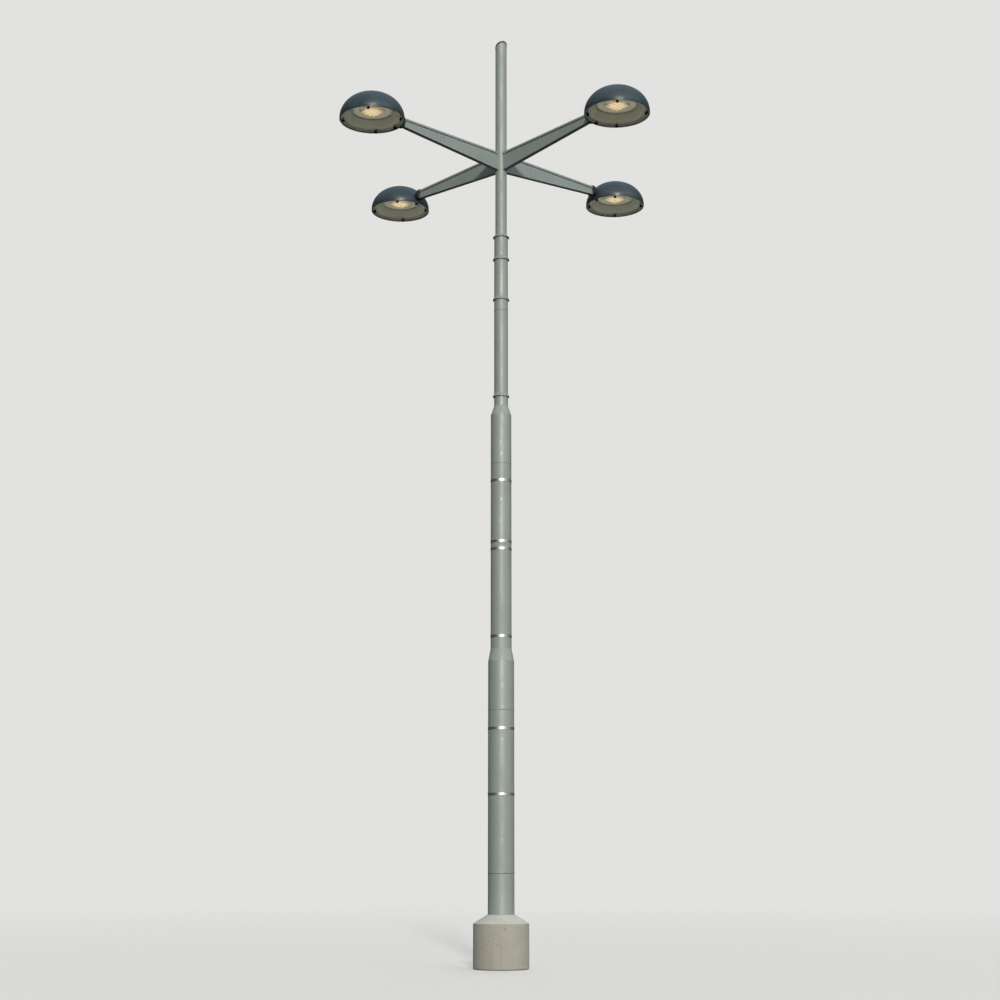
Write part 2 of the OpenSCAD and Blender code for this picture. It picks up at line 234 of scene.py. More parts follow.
def lathe_mesh(name, profile, steps):
    """A turned form round Z from (radius, height) points; the first and the last lie on the axis."""
    form = bmesh.new()
    turns = [2 * math.pi * i / steps for i in range(steps)]
    rings = [
        [
            form.verts.new((radius * math.cos(turn), radius * math.sin(turn), height))
            for turn in (turns if radius else turns[:1])
        ]
        for radius, height in profile
    ]
    for low, high in zip(rings, rings[1:]):
        for i in range(steps):
            j = (i + 1) % steps
            corners = (low[i % len(low)], low[j % len(low)], high[j % len(high)], high[i % len(high)])
            form.faces.new(list(dict.fromkeys(corners)))
    bmesh.ops.recalc_face_normals(form, faces=form.faces)
    mesh = bpy.data.meshes.new(name)
    form.to_mesh(mesh)
    form.free()
    return mesh


def joined(name, meshes):
    """One mesh of several, which share their first material."""
    form = bmesh.new()
    for mesh in meshes:
        form.from_mesh(mesh)
    whole = bpy.data.meshes.new(name)
    form.to_mesh(whole)
    form.free()
    for material in meshes[0].materials:
        whole.materials.append(material)
    for mesh in meshes:
        bpy.data.meshes.remove(mesh)
    return whole


def finish_piece(mesh, name, replaces=()):
    made = to_scene(name, mesh)
    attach(made, BODY)
    if replaces:
        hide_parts(*replaces)


def at_heads(mesh, name, replaced=None):
    """The mesh at each luminaire, as one piece for each direction."""
    for index, direction in enumerate(DIRECTIONS):
        turn = Matrix.Rotation(index * QUARTER, 4, "Z")
        piece = name + "_" + direction
        copy = mesh.copy()
        copy.name = piece
        copy.transform(turn @ Matrix.Translation((HEAD_REACH, 0, 0)))
        finish_piece(copy, piece, [replaced + direction] if replaced else ())
    bpy.data.meshes.remove(mesh)


def paint_node(node, material):
    """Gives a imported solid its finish, with its mesh untouched."""
    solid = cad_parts[node]
    if not solid.material_slots:
        solid.data.materials.append(material)
    for slot in solid.material_slots:
        slot.link = "OBJECT"
        slot.material = material


def paint_each(kind, material):
    """Gives the solids of one kind, which stand in each direction, their finish."""
    for direction in DIRECTIONS:
        paint_node(kind + "_" + direction, material)


# ---- helpers: node trees ----

def feed(tree, socket, value):
    """Links another node's output to a socket, or puts a plain value on it."""
    if isinstance(value, bpy.types.NodeSocket):
        tree.links.new(value, socket)
    elif socket.type == "RGBA":
        socket.default_value = (*value, 1)
    else:
        socket.default_value = value


def add_node(tree, kind, inputs=None, **settings):
    """A new node with its settings, and with its inputs fed by name or by number."""
    node = tree.nodes.new(kind)
    for key, value in settings.items():
        setattr(node, key, value)
    for key, value in (inputs or {}).items():
        feed(tree, node.inputs[key], value)
    return node


def lay_out(tree):
    """Sets a tree's nodes in columns, each node left of all that it feeds."""
    columns, filled = {}, {}

    def column(node):
        if node.name not in columns:
            fed = [wire.to_node for socket in node.outputs for wire in socket.links]
            columns[node.name] = 1 + max(map(column, fed), default=-1)
        return columns[node.name]

    for node in tree.nodes:
        across = column(node)
        filled[across] = filled.get(across, -1) + 1
        node.location = (-COLUMN_WIDTH * across, -ROW_HEIGHT * filled[across])


def add_sockets(tree, direction, sockets):
    """Sockets of a group, each given as its name, its kind and, where it has one, its default."""
    for name, kind, *default in sockets:
        socket = tree.interface.new_socket(name=name, in_out=direction, socket_type="NodeSocket" + kind)
        if default:
            socket.default_value = default[0]


def math_node(tree, operation, *values, clamp=False):
    inputs = dict(enumerate(values))
    return add_node(tree, "ShaderNodeMath", inputs, operation=operation, use_clamp=clamp).outputs[0]


def times(tree, value, factor, clamp=False):
    return math_node(tree, "MULTIPLY", value, factor, clamp=clamp)


def less(tree, value, taken):
    return math_node(tree, "SUBTRACT", value, taken)


def vector_math(tree, operation, inputs, output="Vector"):
    return add_node(tree, "ShaderNodeVectorMath", inputs, operation=operation).outputs[output]


def split(tree, vector):
    return add_node(tree, "ShaderNodeSeparateXYZ", {0: vector}).outputs


def combine(tree, x, y, z):
    return add_node(tree, "ShaderNodeCombineXYZ", {0: x, 1: y, 2: z}).outputs[0]


def hypotenuse(tree, across, along):
    """How far off a point is that lies so far across and so far along."""
    squares = [math_node(tree, "POWER", side, 2.0) for side in (across, along)]
    return math_node(tree, "SQRT", math_node(tree, "ADD", *squares))


def step_up(tree, value, low, high, start=0.0, end=1.0):
    """The start value under low, the end value over high and a smooth change between them."""
    node = add_node(tree, "ShaderNodeMapRange", {
        "Value": value, "From Min": low, "From Max": high, "To Min": start, "To Max": end,
    }, interpolation_type="SMOOTHSTEP")
    return node.outputs["Result"]


def ramp(tree, value, low, high, greys=(0, 1)):
    """A grey that changes evenly from the first one at low to the second one at high."""
    node = add_node(tree, "ShaderNodeValToRGB", {0: value})
    for stop, position, grey in zip(node.color_ramp.elements, (low, high), greys):
        stop.position = position
        stop.color = (grey, grey, grey, 1)
    return node.outputs[0]


def mix_colour(tree, factor, first, second, blend="MIX"):
    node = add_node(
        tree, "ShaderNodeMix", {0: factor, 6: first, 7: second}, data_type="RGBA", blend_type=blend)
    return node.outputs[2]


def noise(tree, vector, scale, detail=2.0, roughness=0.5, seed=None):
    """Cloudy noise, which has its own pattern for each seed where it is given one."""
    inputs = {"Vector": vector, "Scale": scale, "Detail": detail, "Roughness": roughness}
    if seed is None:
        return add_node(tree, "ShaderNodeTexNoise", inputs).outputs[0]
    inputs["W"] = seed
    return add_node(tree, "ShaderNodeTexNoise", inputs, noise_dimensions="4D").outputs[0]


def cells(tree, vector, scale, seed):
    """Distance from the nearest of many scattered points."""
    inputs = {"Vector": vector, "Scale": scale, "W": seed}
    node = add_node(tree, "ShaderNodeTexVoronoi", inputs, voronoi_dimensions="4D", feature="F1")
    return node.outputs["Distance"]


def place_group(tree, group, **values):
    """The outputs of a group's new node, with the group's inputs fed by name."""
    inputs = {key.replace("_", " "): value for key, value in values.items()}
    return add_node(tree, "ShaderNodeGroup", inputs, node_tree=group).outputs


# ---- shader groups ----

def shader_group(name, inputs, outputs, build):
    """The shader group of that name, made once. build gives a socket for each of its outputs."""
    if name in bpy.data.node_groups:
        return bpy.data.node_groups[name]
    tree = bpy.data.node_groups.new(name, "ShaderNodeTree")
    add_sockets(tree, "INPUT", inputs)
    add_sockets(tree, "OUTPUT", outputs)
    given = add_node(tree, "NodeGroupInput").outputs
    add_node(tree, "NodeGroupOutput", dict(enumerate(build(tree, given))))
    lay_out(tree)
    return tree


def tone_group():
    """Uneven tone: cloudy patches and fine speckle between two colours."""
    def build(tree, given):
        clouds = noise(tree, given["Vector"], given["Cloud Scale"], detail=4)
        specks = noise(tree, given["Vector"], given["Speckle Scale"])
        both = math_node(
            tree, "MULTIPLY_ADD", ramp(tree, specks, 0.45, 0.7), 0.35, ramp(tree, clouds, 0.38, 0.68))
        amount = times(tree, both, given["Amount"], clamp=True)
        return mix_colour(tree, amount, given["Base"], given["Shade"]), amount

    return shader_group("Uneven tone", (
        ("Vector", "Vector"), ("Base", "Color"), ("Shade", "Color"),
        ("Cloud Scale", "Float", 3.0), ("Speckle Scale", "Float", 160.0), ("Amount", "Float", 0.4),
    ), (("Color", "Color"), ("Mask", "Float")), build)


def streak_group():
    """Rain streaks: thin vertical marks that run down a standing surface."""
    def build(tree, given):
        inputs = {"Vector": given["Vector"], "Scale": (1, 1, 0.02)}
        stretched = add_node(tree, "ShaderNodeMapping", inputs).outputs["Vector"]
        lines = noise(tree, stretched, given["Scale"], detail=3)
        patches = noise(tree, given["Vector"], 2.5)
        both = times(tree, ramp(tree, lines, 0.5, 0.72), ramp(tree, patches, 0.4, 0.65))
        amount = times(tree, both, given["Amount"], clamp=True)
        return (mix_colour(tree, amount, given["Color"], given["Streak"]),)

    return shader_group("Rain streaks", (
        ("Vector", "Vector"), ("Color", "Color"), ("Streak", "Color"),
        ("Scale", "Float", 60.0), ("Amount", "Float", 0.3),
    ), (("Color", "Color"),), build)


def peel_group():
    """Orange peel: the fine waves of sprayed paint, as a height."""
    def build(tree, given):
        fine = noise(tree, given["Vector"], given["Scale"])
        waves = noise(tree, given["Vector"], given["Wave Scale"])
        return (math_node(tree, "MULTIPLY_ADD", waves, given["Wave"], fine),)

    return shader_group("Orange peel", (
        ("Vector", "Vector"), ("Scale", "Float", 90.0),
        ("Wave Scale", "Float", 9.0), ("Wave", "Float", 0.6),
    ), (("Height", "Float"),), build)


def head_group():
    """How far a point is from the nearest luminaire's axis, over its rim, and from its nearest lens."""
    def build(tree, given):
        parts = split(tree, given["Vector"])
        x, y = (math_node(tree, "ABSOLUTE", parts[axis]) for axis in "XY")
        out = less(tree, math_node(tree, "MAXIMUM", x, y), HEAD_REACH)
        side = math_node(tree, "MINIMUM", x, y)
        off_row = [
            less(tree, math_node(tree, "FLOORED_MODULO", across, LENS_PITCH), LENS_PITCH / 2)
            for across in (out, side)
        ]
        return hypotenuse(tree, out, side), less(tree, parts["Z"], RIM_Z), hypotenuse(tree, *off_row)

    return shader_group(
        "Head place", (("Vector", "Vector"),),
        (("Radius", "Float"), ("Height", "Float"), ("Off Lens", "Float")), build)


# ---- materials ----

def give(shader, **values):
    """Feeds a shader's inputs, named with _ for each space."""
    for key, value in values.items():
        feed(shader.id_data, shader.inputs[key.replace("_", " ")], value)


def new_material(name, scale=(1, 1, 1), **values):
    """A material, its tree, its Principled BSDF with the values set, and its object coordinates."""
    made = bpy.data.materials.new(name)
    made.use_nodes = True
    tree = made.node_tree
    shader = tree.nodes["Principled BSDF"]
    give(shader, **values)
    coords = add_node(tree, "ShaderNodeTexCoord").outputs["Object"]
    mapping = add_node(tree, "ShaderNodeMapping", {"Vector": coords, "Scale": scale})
    return made, tree, shader, mapping.outputs["Vector"]


def material_named(name, maker, *args, **kwargs):
    """The material of that name, made once."""
    made = bpy.data.materials.get(name)
    if made is None:
        made = maker(name, *args, **kwargs)
        lay_out(made.node_tree)
    return made


def add_tone(tree, vector, base, shade, clouds, specks, amount):
    """Uneven tone between two colours, as a colour and a mask."""
    return place_group(
        tree, tone_group(), Vector=vector, Base=base, Shade=shade,
        Cloud_Scale=clouds, Speckle_Scale=specks, Amount=amount)


def set_tone(tree, shader, vector, base, shade, clouds, specks, amount):
    """Gives a surface an uneven tone between two colours, and returns its mask."""
    tone = add_tone(tree, vector, base, shade, clouds, specks, amount)
    give(shader, Base_Color=tone["Color"])
    return tone["Mask"]


def add_roughness(tree, shader, mask, more, plain):
    """The plain roughness, and more of it where the mask is high."""
    give(shader, Roughness=math_node(tree, "MULTIPLY_ADD", mask, more, plain, clamp=True))


def add_bump(tree, shader, height, strength, distance):
    inputs = {"Strength": strength, "Distance": distance, "Height": height}
    give(shader, Normal=add_node(tree, "ShaderNodeBump", inputs).outputs["Normal"])


def add_peel(tree, shader, vector, scale, wave_scale, wave, strength, distance):
    """Orange peel on a surface."""
    peel = place_group(tree, peel_group(), Vector=vector, Scale=scale, Wave_Scale=wave_scale, Wave=wave)
    add_bump(tree, shader, peel["Height"], strength, distance)


def shaded(tree, colour, factor):
    """A colour times another one."""
    return mix_colour(tree, 1.0, colour, factor, "MULTIPLY")


def near_head(tree, vector):
    """Where a point is on the nearest luminaire."""
    return place_group(tree, head_group(), Vector=vector)


def painted_steel(name, colour, gleam=0.5):
    """Sprayed paint on steel with uneven tone, rain streaks, orange peel and patches that gleam."""
    roughness = 0.5
    made, tree, shader, vector = new_material(
        name, Roughness=roughness, IOR=1.5, Specular_IOR_Level=2 * gleam, Coat_Roughness=0.36)
    grime_and_shade = (0.55 * colour[0], 0.52 * colour[1], 0.45 * colour[2])
    tone = add_tone(tree, vector, colour, scaled(colour, 0.72), clouds=3.0, specks=220.0, amount=0.35)
    rain = place_group(
        tree, streak_group(), Vector=vector, Color=tone["Color"],
        Streak=grime_and_shade, Scale=45.0, Amount=0.35)
    give(shader, Base_Color=rain["Color"])
    add_roughness(tree, shader, tone["Mask"], 0.35, roughness)
    broad = step_up(tree, noise(tree, vector, 5.0), 0.40, 0.60, 0.0, 0.8 * gleam)
    small = step_up(tree, noise(tree, vector, 21.0, 1, 0.4), 0.64, 0.70, 0.0, 1.6 * gleam)
    give(shader, Coat_Weight=math_node(tree, "ADD", broad, small, clamp=True))
    add_peel(tree, shader, vector, scale=140.0, wave_scale=7.0, wave=1.2, strength=0.25, distance=0.0015)
    return made


def polished_steel(name):
    """Bright steel, brushed round the mast."""
    roughness = 0.44
    made, tree, shader, vector = new_material(name, (1, 1, 30), Metallic=1.0, Roughness=roughness)
    mask = set_tone(
        tree, shader, vector, (0.64, 0.65, 0.63), (0.52, 0.53, 0.51),
        clouds=12.0, specks=300.0, amount=0.5)
    add_roughness(tree, shader, mask, 0.12, roughness)
    return made


def concrete(name, colour, lit_crown, crown_z):
    """Cast concrete with faint runs and clusters of open pores painted darker as painted shade, paler
    over the height crown_z as painted light on the sloped top.
    """
    made, tree, shader, vector = new_material(name, Roughness=0.9, Specular_IOR_Level=0.2)
    # painted light: over crown_z the concrete takes the paler top colour
    over = less(tree, split(tree, vector)["Z"], crown_z)
    on_top = times(tree, over, 1 / (4 * MM), clamp=True)
    base = mix_colour(tree, on_top, colour, lit_crown)
    shade = shaded(tree, base, (0.80, 0.79, 0.76))
    tone = add_tone(tree, vector, base, shade, clouds=9.0, specks=260.0, amount=0.35)
    runs = place_group(
        tree, streak_group(), Vector=vector, Color=tone["Color"], Streak=shade, Scale=32.0, Amount=0.8)
    pit = ramp(tree, cells(tree, vector, PIT_SCALE, PLINTH_SEED), 0.15, 0.34, (1, 0))
    patch = ramp(tree, noise(tree, vector, PATCH_SCALE, seed=PLINTH_SEED), PATCH_FROM, PATCH_TO)
    pits = times(tree, pit, patch)
    # painted shade: in the pits the concrete is painted half as bright, for the shade in their hollows
    give(shader, Base_Color=mix_colour(tree, pits, runs["Color"], scaled(colour, 0.5)))
    add_bump(tree, shader, less(tree, tone["Mask"], pits), 0.5, 0.002)
    return made


def dome_enamel(name, colour):
    """Dark glossy enamel with a clear coat, slightly dusty."""
    roughness = 0.4
    made, tree, shader, vector = new_material(
        name, Roughness=roughness, IOR=1.5, Coat_Weight=0.65, Coat_Roughness=0.29)
    dust = tuple(0.6 * value + 0.10 for value in colour)
    mask = set_tone(tree, shader, vector, colour, dust, clouds=7.0, specks=260.0, amount=0.25)
    add_roughness(tree, shader, mask, 0.4, roughness)
    add_peel(tree, shader, vector, scale=160.0, wave_scale=9.0, wave=1.0, strength=0.12, distance=0.0012)
    return made


def cast_metal(name, colour):
    """Cast aluminium with a fine grain."""
    made, tree, shader, vector = new_material(name, Roughness=0.5, Metallic=0.3)
    set_tone(tree, shader, vector, colour, scaled(colour, 0.6), clouds=20.0, specks=400.0, amount=0.5)
    add_peel(tree, shader, vector, scale=500.0, wave_scale=40.0, wave=0.5, strength=0.3, distance=0.0008)
    return made


def blackened(name, colour):
    """Dull blackened steel."""
    made, tree, shader, vector = new_material(name, Roughness=0.7, Specular_IOR_Level=0.12)
    set_tone(tree, shader, vector, colour, scaled(colour, 0.5), clouds=60.0, specks=700.0, amount=0.5)
    return made


def rim_metal(name, outside, lip):
    """A ring with the domes' dark finish outside and a lip inside that is painted lighter, as painted
    light caught at its edge.
    """
    made, tree, shader, vector = new_material(name, Roughness=0.5, Coat_Roughness=0.32)
    radius = near_head(tree, vector)["Radius"]
    outer = step_up(tree, radius, HEAD_R - 1.6 * MM, HEAD_R - 0.8 * MM)
    give(shader, Coat_Weight=times(tree, outer, 0.6))
    # painted light: the lip's lighter colour inside the outer edge
    base = mix_colour(tree, outer, lip, outside)
    set_tone(
        tree, shader, vector, base, shaded(tree, base, (0.7, 0.7, 0.7)),
        clouds=20.0, specks=400.0, amount=0.5)
    add_peel(tree, shader, vector, scale=500.0, wave_scale=40.0, wave=0.5, strength=0.2, distance=0.0008)
    return made


def pan_paint(name, wall, ceiling):
    """Pale paint with painted light and shade: the ceiling painted lighter as if lit by the lamp, the
    wall painted lighter towards its foot, and painted shade low on the wall and in the ceiling's corner.
    """
    made, tree, shader, vector = new_material(name, Roughness=0.6)
    place = near_head(tree, vector)
    radius, height = place["Radius"], place["Height"]
    # painted shade: a dark copy of the wall paint, for the foot of the wall and the ceiling's corner
    grime_and_shade = scaled(wall, 0.3)
    # painted light: the wall is painted lighter the lower it stands; its foot under 20 to 36 mm gets
    # painted shade
    wall_lit_low = mix_colour(tree, step_up(tree, height, 0.0, 0.8 * CEILING_H), scaled(wall, 1.3), wall)
    over_foot = mix_colour(tree, step_up(tree, height, 20 * MM, 36 * MM), grime_and_shade, wall_lit_low)
    # painted light: the ceiling takes the lighter ceiling colour, as lit by the lamp
    on_ceiling = step_up(tree, height, CEILING_H - 1.0 * MM, CEILING_H - 0.3 * MM)
    without_corner_shade = mix_colour(tree, on_ceiling, over_foot, ceiling)
    # painted shade: darker in the corner between the ceiling and the wall
    from_corner = hypotenuse(
        tree, less(tree, radius, CEILING_R - 6 * MM), less(tree, height, CEILING_H))
    in_corner = step_up(tree, from_corner, 6 * MM, 18 * MM, 0.85, 0.0)
    base = mix_colour(tree, in_corner, without_corner_shade, grime_and_shade)
    set_tone(
        tree, shader, vector, base, shaded(tree, base, (0.84, 0.84, 0.82)),
        clouds=12.0, specks=350.0, amount=0.35)
    add_peel(tree, shader, vector, scale=300.0, wave_scale=25.0, wave=0.5, strength=0.15, distance=0.0008)
    return made


def lamp_light(name, colour, strength, outer):
    """A glow, brightest over the lenses' middles, that falls to its outer share off the axis."""
    made, tree, shader, vector = new_material(name, Roughness=0.25, Emission_Strength=strength)
    place = near_head(tree, vector)
    off_lens = step_up(tree, place["Off Lens"], 0.2 * LENS_PITCH, 0.45 * LENS_PITCH)
    off_axis = step_up(tree, place["Radius"], 0.28 * LAMP_SIDE, 0.62 * LAMP_SIDE)
    cell = mix_colour(tree, off_lens, colour, scaled(colour, 0.8))
    lit = mix_colour(tree, off_axis, cell, scaled(colour, outer))
    tone = add_tone(
        tree, vector, lit, shaded(tree, lit, (0.7, 0.7, 0.7)), clouds=60.0, specks=400.0, amount=0.5)
    give(shader, Base_Color=tone["Color"], Emission_Color=tone["Color"])
    return made


def clear_glass(name, colour, line, frost, line_from, frost_from):
    """Flat glass that lets lamplight through: clear, then a light line that is a painted highlight along
    the frosted zone's inner edge, then a frosted zone.
    """
    made, tree, shader, vector = new_material(name, Transmission_Weight=1.0, IOR=1.25)
    radius = near_head(tree, vector)["Radius"]
    past_clear, frosted = (
        step_up(tree, radius, edge - 0.5 * MM, edge + 0.5 * MM) for edge in (line_from, frost_from))
    # painted highlight: the line's lighter tint between the clear glass and the frost
    base = mix_colour(tree, frosted, mix_colour(tree, past_clear, colour, line), frost)
    set_tone(
        tree, shader, vector, base, shaded(tree, base, (0.93, 0.93, 0.93)),
        clouds=15.0, specks=300.0, amount=0.4)
    give(shader, Roughness=math_node(tree, "MULTIPLY_ADD", frosted, 0.20, 0.02))
    path = add_node(tree, "ShaderNodeLightPath")
    clear = add_node(tree, "ShaderNodeBsdfTransparent")
    choose = add_node(tree, "ShaderNodeMixShader", {
        0: path.outputs["Is Shadow Ray"], 1: shader.outputs[0], 2: clear.outputs[0],
    })
    feed(tree, tree.nodes["Material Output"].inputs["Surface"], choose.outputs[0])
    return made


# ---- geometry nodes ----

def form_tree(name, inputs, build):
    """A geometry node tree with named inputs. What build makes comes out real, with its material."""
    tree = bpy.data.node_groups.new(name, "GeometryNodeTree")
    add_sockets(tree, "INPUT", (("Geometry", "Geometry"), *inputs, ("Material", "Material")))
    add_sockets(tree, "OUTPUT", (("Geometry", "Geometry"),))
    given = add_node(tree, "NodeGroupInput").outputs
    real = add_node(tree, "GeometryNodeRealizeInstances", {"Geometry": build(tree, given)})
    finish = add_node(
        tree, "GeometryNodeSetMaterial", {"Geometry": real.outputs[0], "Material": given["Material"]})
    add_node(tree, "NodeGroupOutput", {"Geometry": finish.outputs[0]})
    lay_out(tree)
    return tree


def run_tree(tree, name, start=None, **values):
    """The plain mesh that a tree makes with the given values for its named inputs."""
    holder = to_scene(name, start or bpy.data.meshes.new(name))
    modifier = holder.modifiers.new(tree.name, "NODES")
    modifier.node_group = tree
    for item in tree.interface.items_tree:
        if item.item_type == "SOCKET" and item.in_out == "INPUT":
            key = item.name.replace(" ", "_").lower()
            if key in values:
                modifier[item.identifier] = values[key]
    graph = bpy.context.evaluated_depsgraph_get()
    mesh = bpy.data.meshes.new_from_object(holder.evaluated_get(graph))
    mesh.name = name
    holder.modifiers.remove(modifier)
    bpy.data.objects.remove(holder)
    return mesh


def position(tree):
    return add_node(tree, "GeometryNodeInputPosition").outputs[0]


def moved(tree, geometry, **inputs):
    return add_node(tree, "GeometryNodeSetPosition", {"Geometry": geometry, **inputs}).outputs[0]


def softened(tree, geometry):
    return add_node(tree, "GeometryNodeSetShadeSmooth", {"Geometry": geometry}).outputs[0]


def raised(tree, geometry, height):
    inputs = {"Geometry": geometry, "Translation": combine(tree, 0, 0, height)}
    return add_node(tree, "GeometryNodeTransform", inputs).outputs[0]


def grid_mesh(tree, side, across, along):
    """A flat square with so many points each way."""
    inputs = {"Size X": side, "Size Y": side, "Vertices X": across, "Vertices Y": along}
    return add_node(tree, "GeometryNodeMeshGrid", inputs).outputs["Mesh"]


def along_normal(tree, far):
    """A step of the given length along a surface's own normal."""
    normal = add_node(tree, "GeometryNodeInputNormal").outputs[0]
    return vector_math(tree, "SCALE", {0: normal, "Scale": far})


def turned_sheet(tree, turns, rings, radius_at, height_at):
    """A sheet turned about Z. radius_at and height_at give sockets from the share along the profile."""
    grid = grid_mesh(tree, 1, turns, rings)
    parts = split(tree, position(tree))
    across, along = (math_node(tree, "ADD", parts[axis], 0.5) for axis in "XY")
    angle = times(tree, across, 2 * math.pi)
    radius = radius_at(along)
    x, y = (times(tree, math_node(tree, way, angle), radius) for way in ("COSINE", "SINE"))
    return moved(tree, grid, Position=combine(tree, x, y, height_at(along)))


def joined_sheets(tree, sheets):
    """Sheets that meet at their edges, as one closed form."""
    join = add_node(tree, "GeometryNodeJoinGeometry")
    for sheet in sheets:
        tree.links.new(sheet, join.inputs[0])
    inputs = {"Geometry": join.outputs[0], "Distance": 0.01 * MM}
    return softened(tree, add_node(tree, "GeometryNodeMergeByDistance", inputs).outputs[0])


def dome_tree():
    """A domed shell: an outer and an inner quarter ellipse turned about Z, closed at the rim."""
    def build(tree, given):
        inner_r, inner_h = (less(tree, given[size], given["Wall"]) for size in ("Radius", "Height"))

        def dome(radius, height):
            def curve(way, along, size):
                angle = times(tree, along, QUARTER)
                return times(tree, math_node(tree, way, angle), size)

            return turned_sheet(
                tree, given["Turns"], given["Rings"],
                lambda along: curve("COSINE", along, radius),
                lambda along: math_node(tree, "ADD", curve("SINE", along, height), given["Foot"]))

        def edge_radius(along):
            return math_node(tree, "ADD", inner_r, times(tree, along, given["Wall"]))

        outer = dome(given["Radius"], given["Height"])
        inner = add_node(tree, "GeometryNodeFlipFaces", {0: dome(inner_r, inner_h)}).outputs[0]
        edge = turned_sheet(tree, given["Turns"], 2, edge_radius, lambda along: given["Foot"])
        return joined_sheets(tree, (outer, inner, edge))

    return form_tree("Dome shell", (
        ("Radius", "Float", 0.275), ("Height", "Float", 0.22), ("Wall", "Float", 0.003),
        ("Foot", "Float", 0.0), ("Turns", "Int", 129), ("Rings", "Int", 49),
    ), build)


def lens_tree():
    """A square field of domed lenses that hang from a board."""
    def build(tree, given):
        gaps = less(tree, given["Count"], 1)
        side = times(tree, gaps, given["Pitch"])
        grid = grid_mesh(tree, side, given["Count"], given["Count"])
        ball = add_node(
            tree, "GeometryNodeMeshUVSphere", {"Segments": 36, "Rings": 16, "Radius": given["Radius"]})
        parts = split(tree, position(tree))
        squash = math_node(tree, "DIVIDE", given["Drop"], given["Radius"])
        below = math_node(tree, "MINIMUM", times(tree, parts["Z"], squash), 0.0)
        lens = moved(tree, ball.outputs["Mesh"], Position=combine(tree, parts["X"], parts["Y"], below))
        field = add_node(tree, "GeometryNodeInstanceOnPoints", {
            "Points": grid, "Instance": softened(tree, lens),
        })
        return raised(tree, field.outputs["Instances"], given["Height"])

    return form_tree("Lens field", (
        ("Count", "Int", 4), ("Pitch", "Float", LENS_PITCH), ("Radius", "Float", 0.0172),
        ("Drop", "Float", 0.0085), ("Height", "Float", 0.0),
    ), build)


def seam_tree():
    """A rounded seam round a tube, its crest slightly uneven as a weld's is."""
    def build(tree, given):
        path = add_node(
            tree, "GeometryNodeCurvePrimitiveCircle", {"Resolution": 96, "Radius": given["Radius"]})
        bead = add_node(tree, "GeometryNodeCurvePrimitiveCircle", {"Resolution": 8, "Radius": 1})
        half = times(tree, given["Width"], 0.5)
        shape = add_node(tree, "GeometryNodeTransform", {
            "Geometry": bead.outputs["Curve"], "Scale": combine(tree, given["Proud"], half, 1),
        })
        sweep = add_node(tree, "GeometryNodeCurveToMesh", {
            "Curve": path.outputs["Curve"], "Profile Curve": shape.outputs["Geometry"],
        })
        waves = noise(tree, position(tree), 90, seed=given["Seed"])
        swing = times(tree, less(tree, waves, 0.5), given["Ripple"])
        seam = moved(tree, sweep.outputs["Mesh"], Offset=along_normal(tree, swing))
        return raised(tree, softened(tree, seam), given["Height"])

    return form_tree("Tube seam", (
        ("Radius", "Float", 0.1), ("Height", "Float", 1.0), ("Proud", "Float", 0.0015),
        ("Width", "Float", 0.006), ("Ripple", "Float", 0.0004), ("Seed", "Float", 0.0),
    ), build)


def weathered_tree():
    """Moves a surface in along its normals: uneven waves and clusters of round pits."""
    def build(tree, given):
        where, seed = position(tree), given["Seed"]
        waves = noise(tree, where, 14, detail=5, seed=seed)
        pit = step_up(tree, cells(tree, where, given["Pit Scale"], seed), 0.13, 0.34, 1.0, 0.0)
        patch = step_up(tree, noise(tree, where, PATCH_SCALE, seed=seed), PATCH_FROM, PATCH_TO)
        hole_depth = times(tree, times(tree, pit, patch), given["Pit Depth"])
        wave_depth = times(tree, waves, given["Wave Depth"])
        depth = times(tree, math_node(tree, "ADD", hole_depth, wave_depth), -1)
        parts = split(tree, where)
        flat = combine(tree, parts["X"], parts["Y"], 0)
        from_axis = vector_math(tree, "LENGTH", {0: flat}, "Value")
        out_of_bore = math_node(tree, "GREATER_THAN", from_axis, given["Inside Radius"])
        over_foot = math_node(tree, "GREATER_THAN", parts["Z"], 1 * MM)
        worn = moved(
            tree, given["Geometry"], Selection=times(tree, out_of_bore, over_foot),
            Offset=along_normal(tree, depth))
        return softened(tree, worn)

    return form_tree("Weathered surface", (
        ("Wave Depth", "Float", 0.0008), ("Pit Depth", "Float", 0.0025),
        ("Pit Scale", "Float", PIT_SCALE), ("Inside Radius", "Float", 0.11),
        ("Seed", "Float", PLINTH_SEED),
    ), build)


# ---- stage ----

def seen_rays(tree):
    """1 for rays by which a thing is seen, also through glass, and 0 for its light and reflections."""
    path = add_node(tree, "ShaderNodeLightPath").outputs
    return math_node(tree, "MAXIMUM", path["Is Camera Ray"], path["Is Transmission Ray"])


def add_sun(context, name, side, rise, strength, width, tint):
    light = bpy.data.lights.new(name, "SUN")
    light.energy = strength
    light.angle = math.radians(width)
    light.color = tint
    lamp = bpy.data.objects.new(name, light)
    context.scene.collection.objects.link(lamp)
    level = math.cos(rise)
    towards = Vector((level * math.sin(side), -level * math.cos(side), math.sin(rise)))
    lamp.rotation_mode = "QUATERNION"
    lamp.rotation_quaternion = towards.to_track_quat("Z", "Y")
    lamp.location = towards * SUN_DISTANCE
    return lamp


def floor_finish(name, look):
    """A plain floor that runs out into the background, and lights the object in another colour."""
    made, tree, shader, vector = new_material(name, Roughness=0.9, Specular_IOR_Level=0.0)
    seen = seen_rays(tree)
    from_mast = vector_math(tree, "LENGTH", {0: vector}, "Value")
    far = step_up(tree, from_mast, look.fade_from, look.fade_to)
    shown = mix_colour(tree, far, look.floor, (0.0, 0.0, 0.0))
    give(
        shader, Base_Color=mix_colour(tree, seen, look.floor_bounce, shown),
        Emission_Color=mix_colour(tree, far, look.floor_glow, look.backdrop),
        Emission_Strength=seen)
    return made


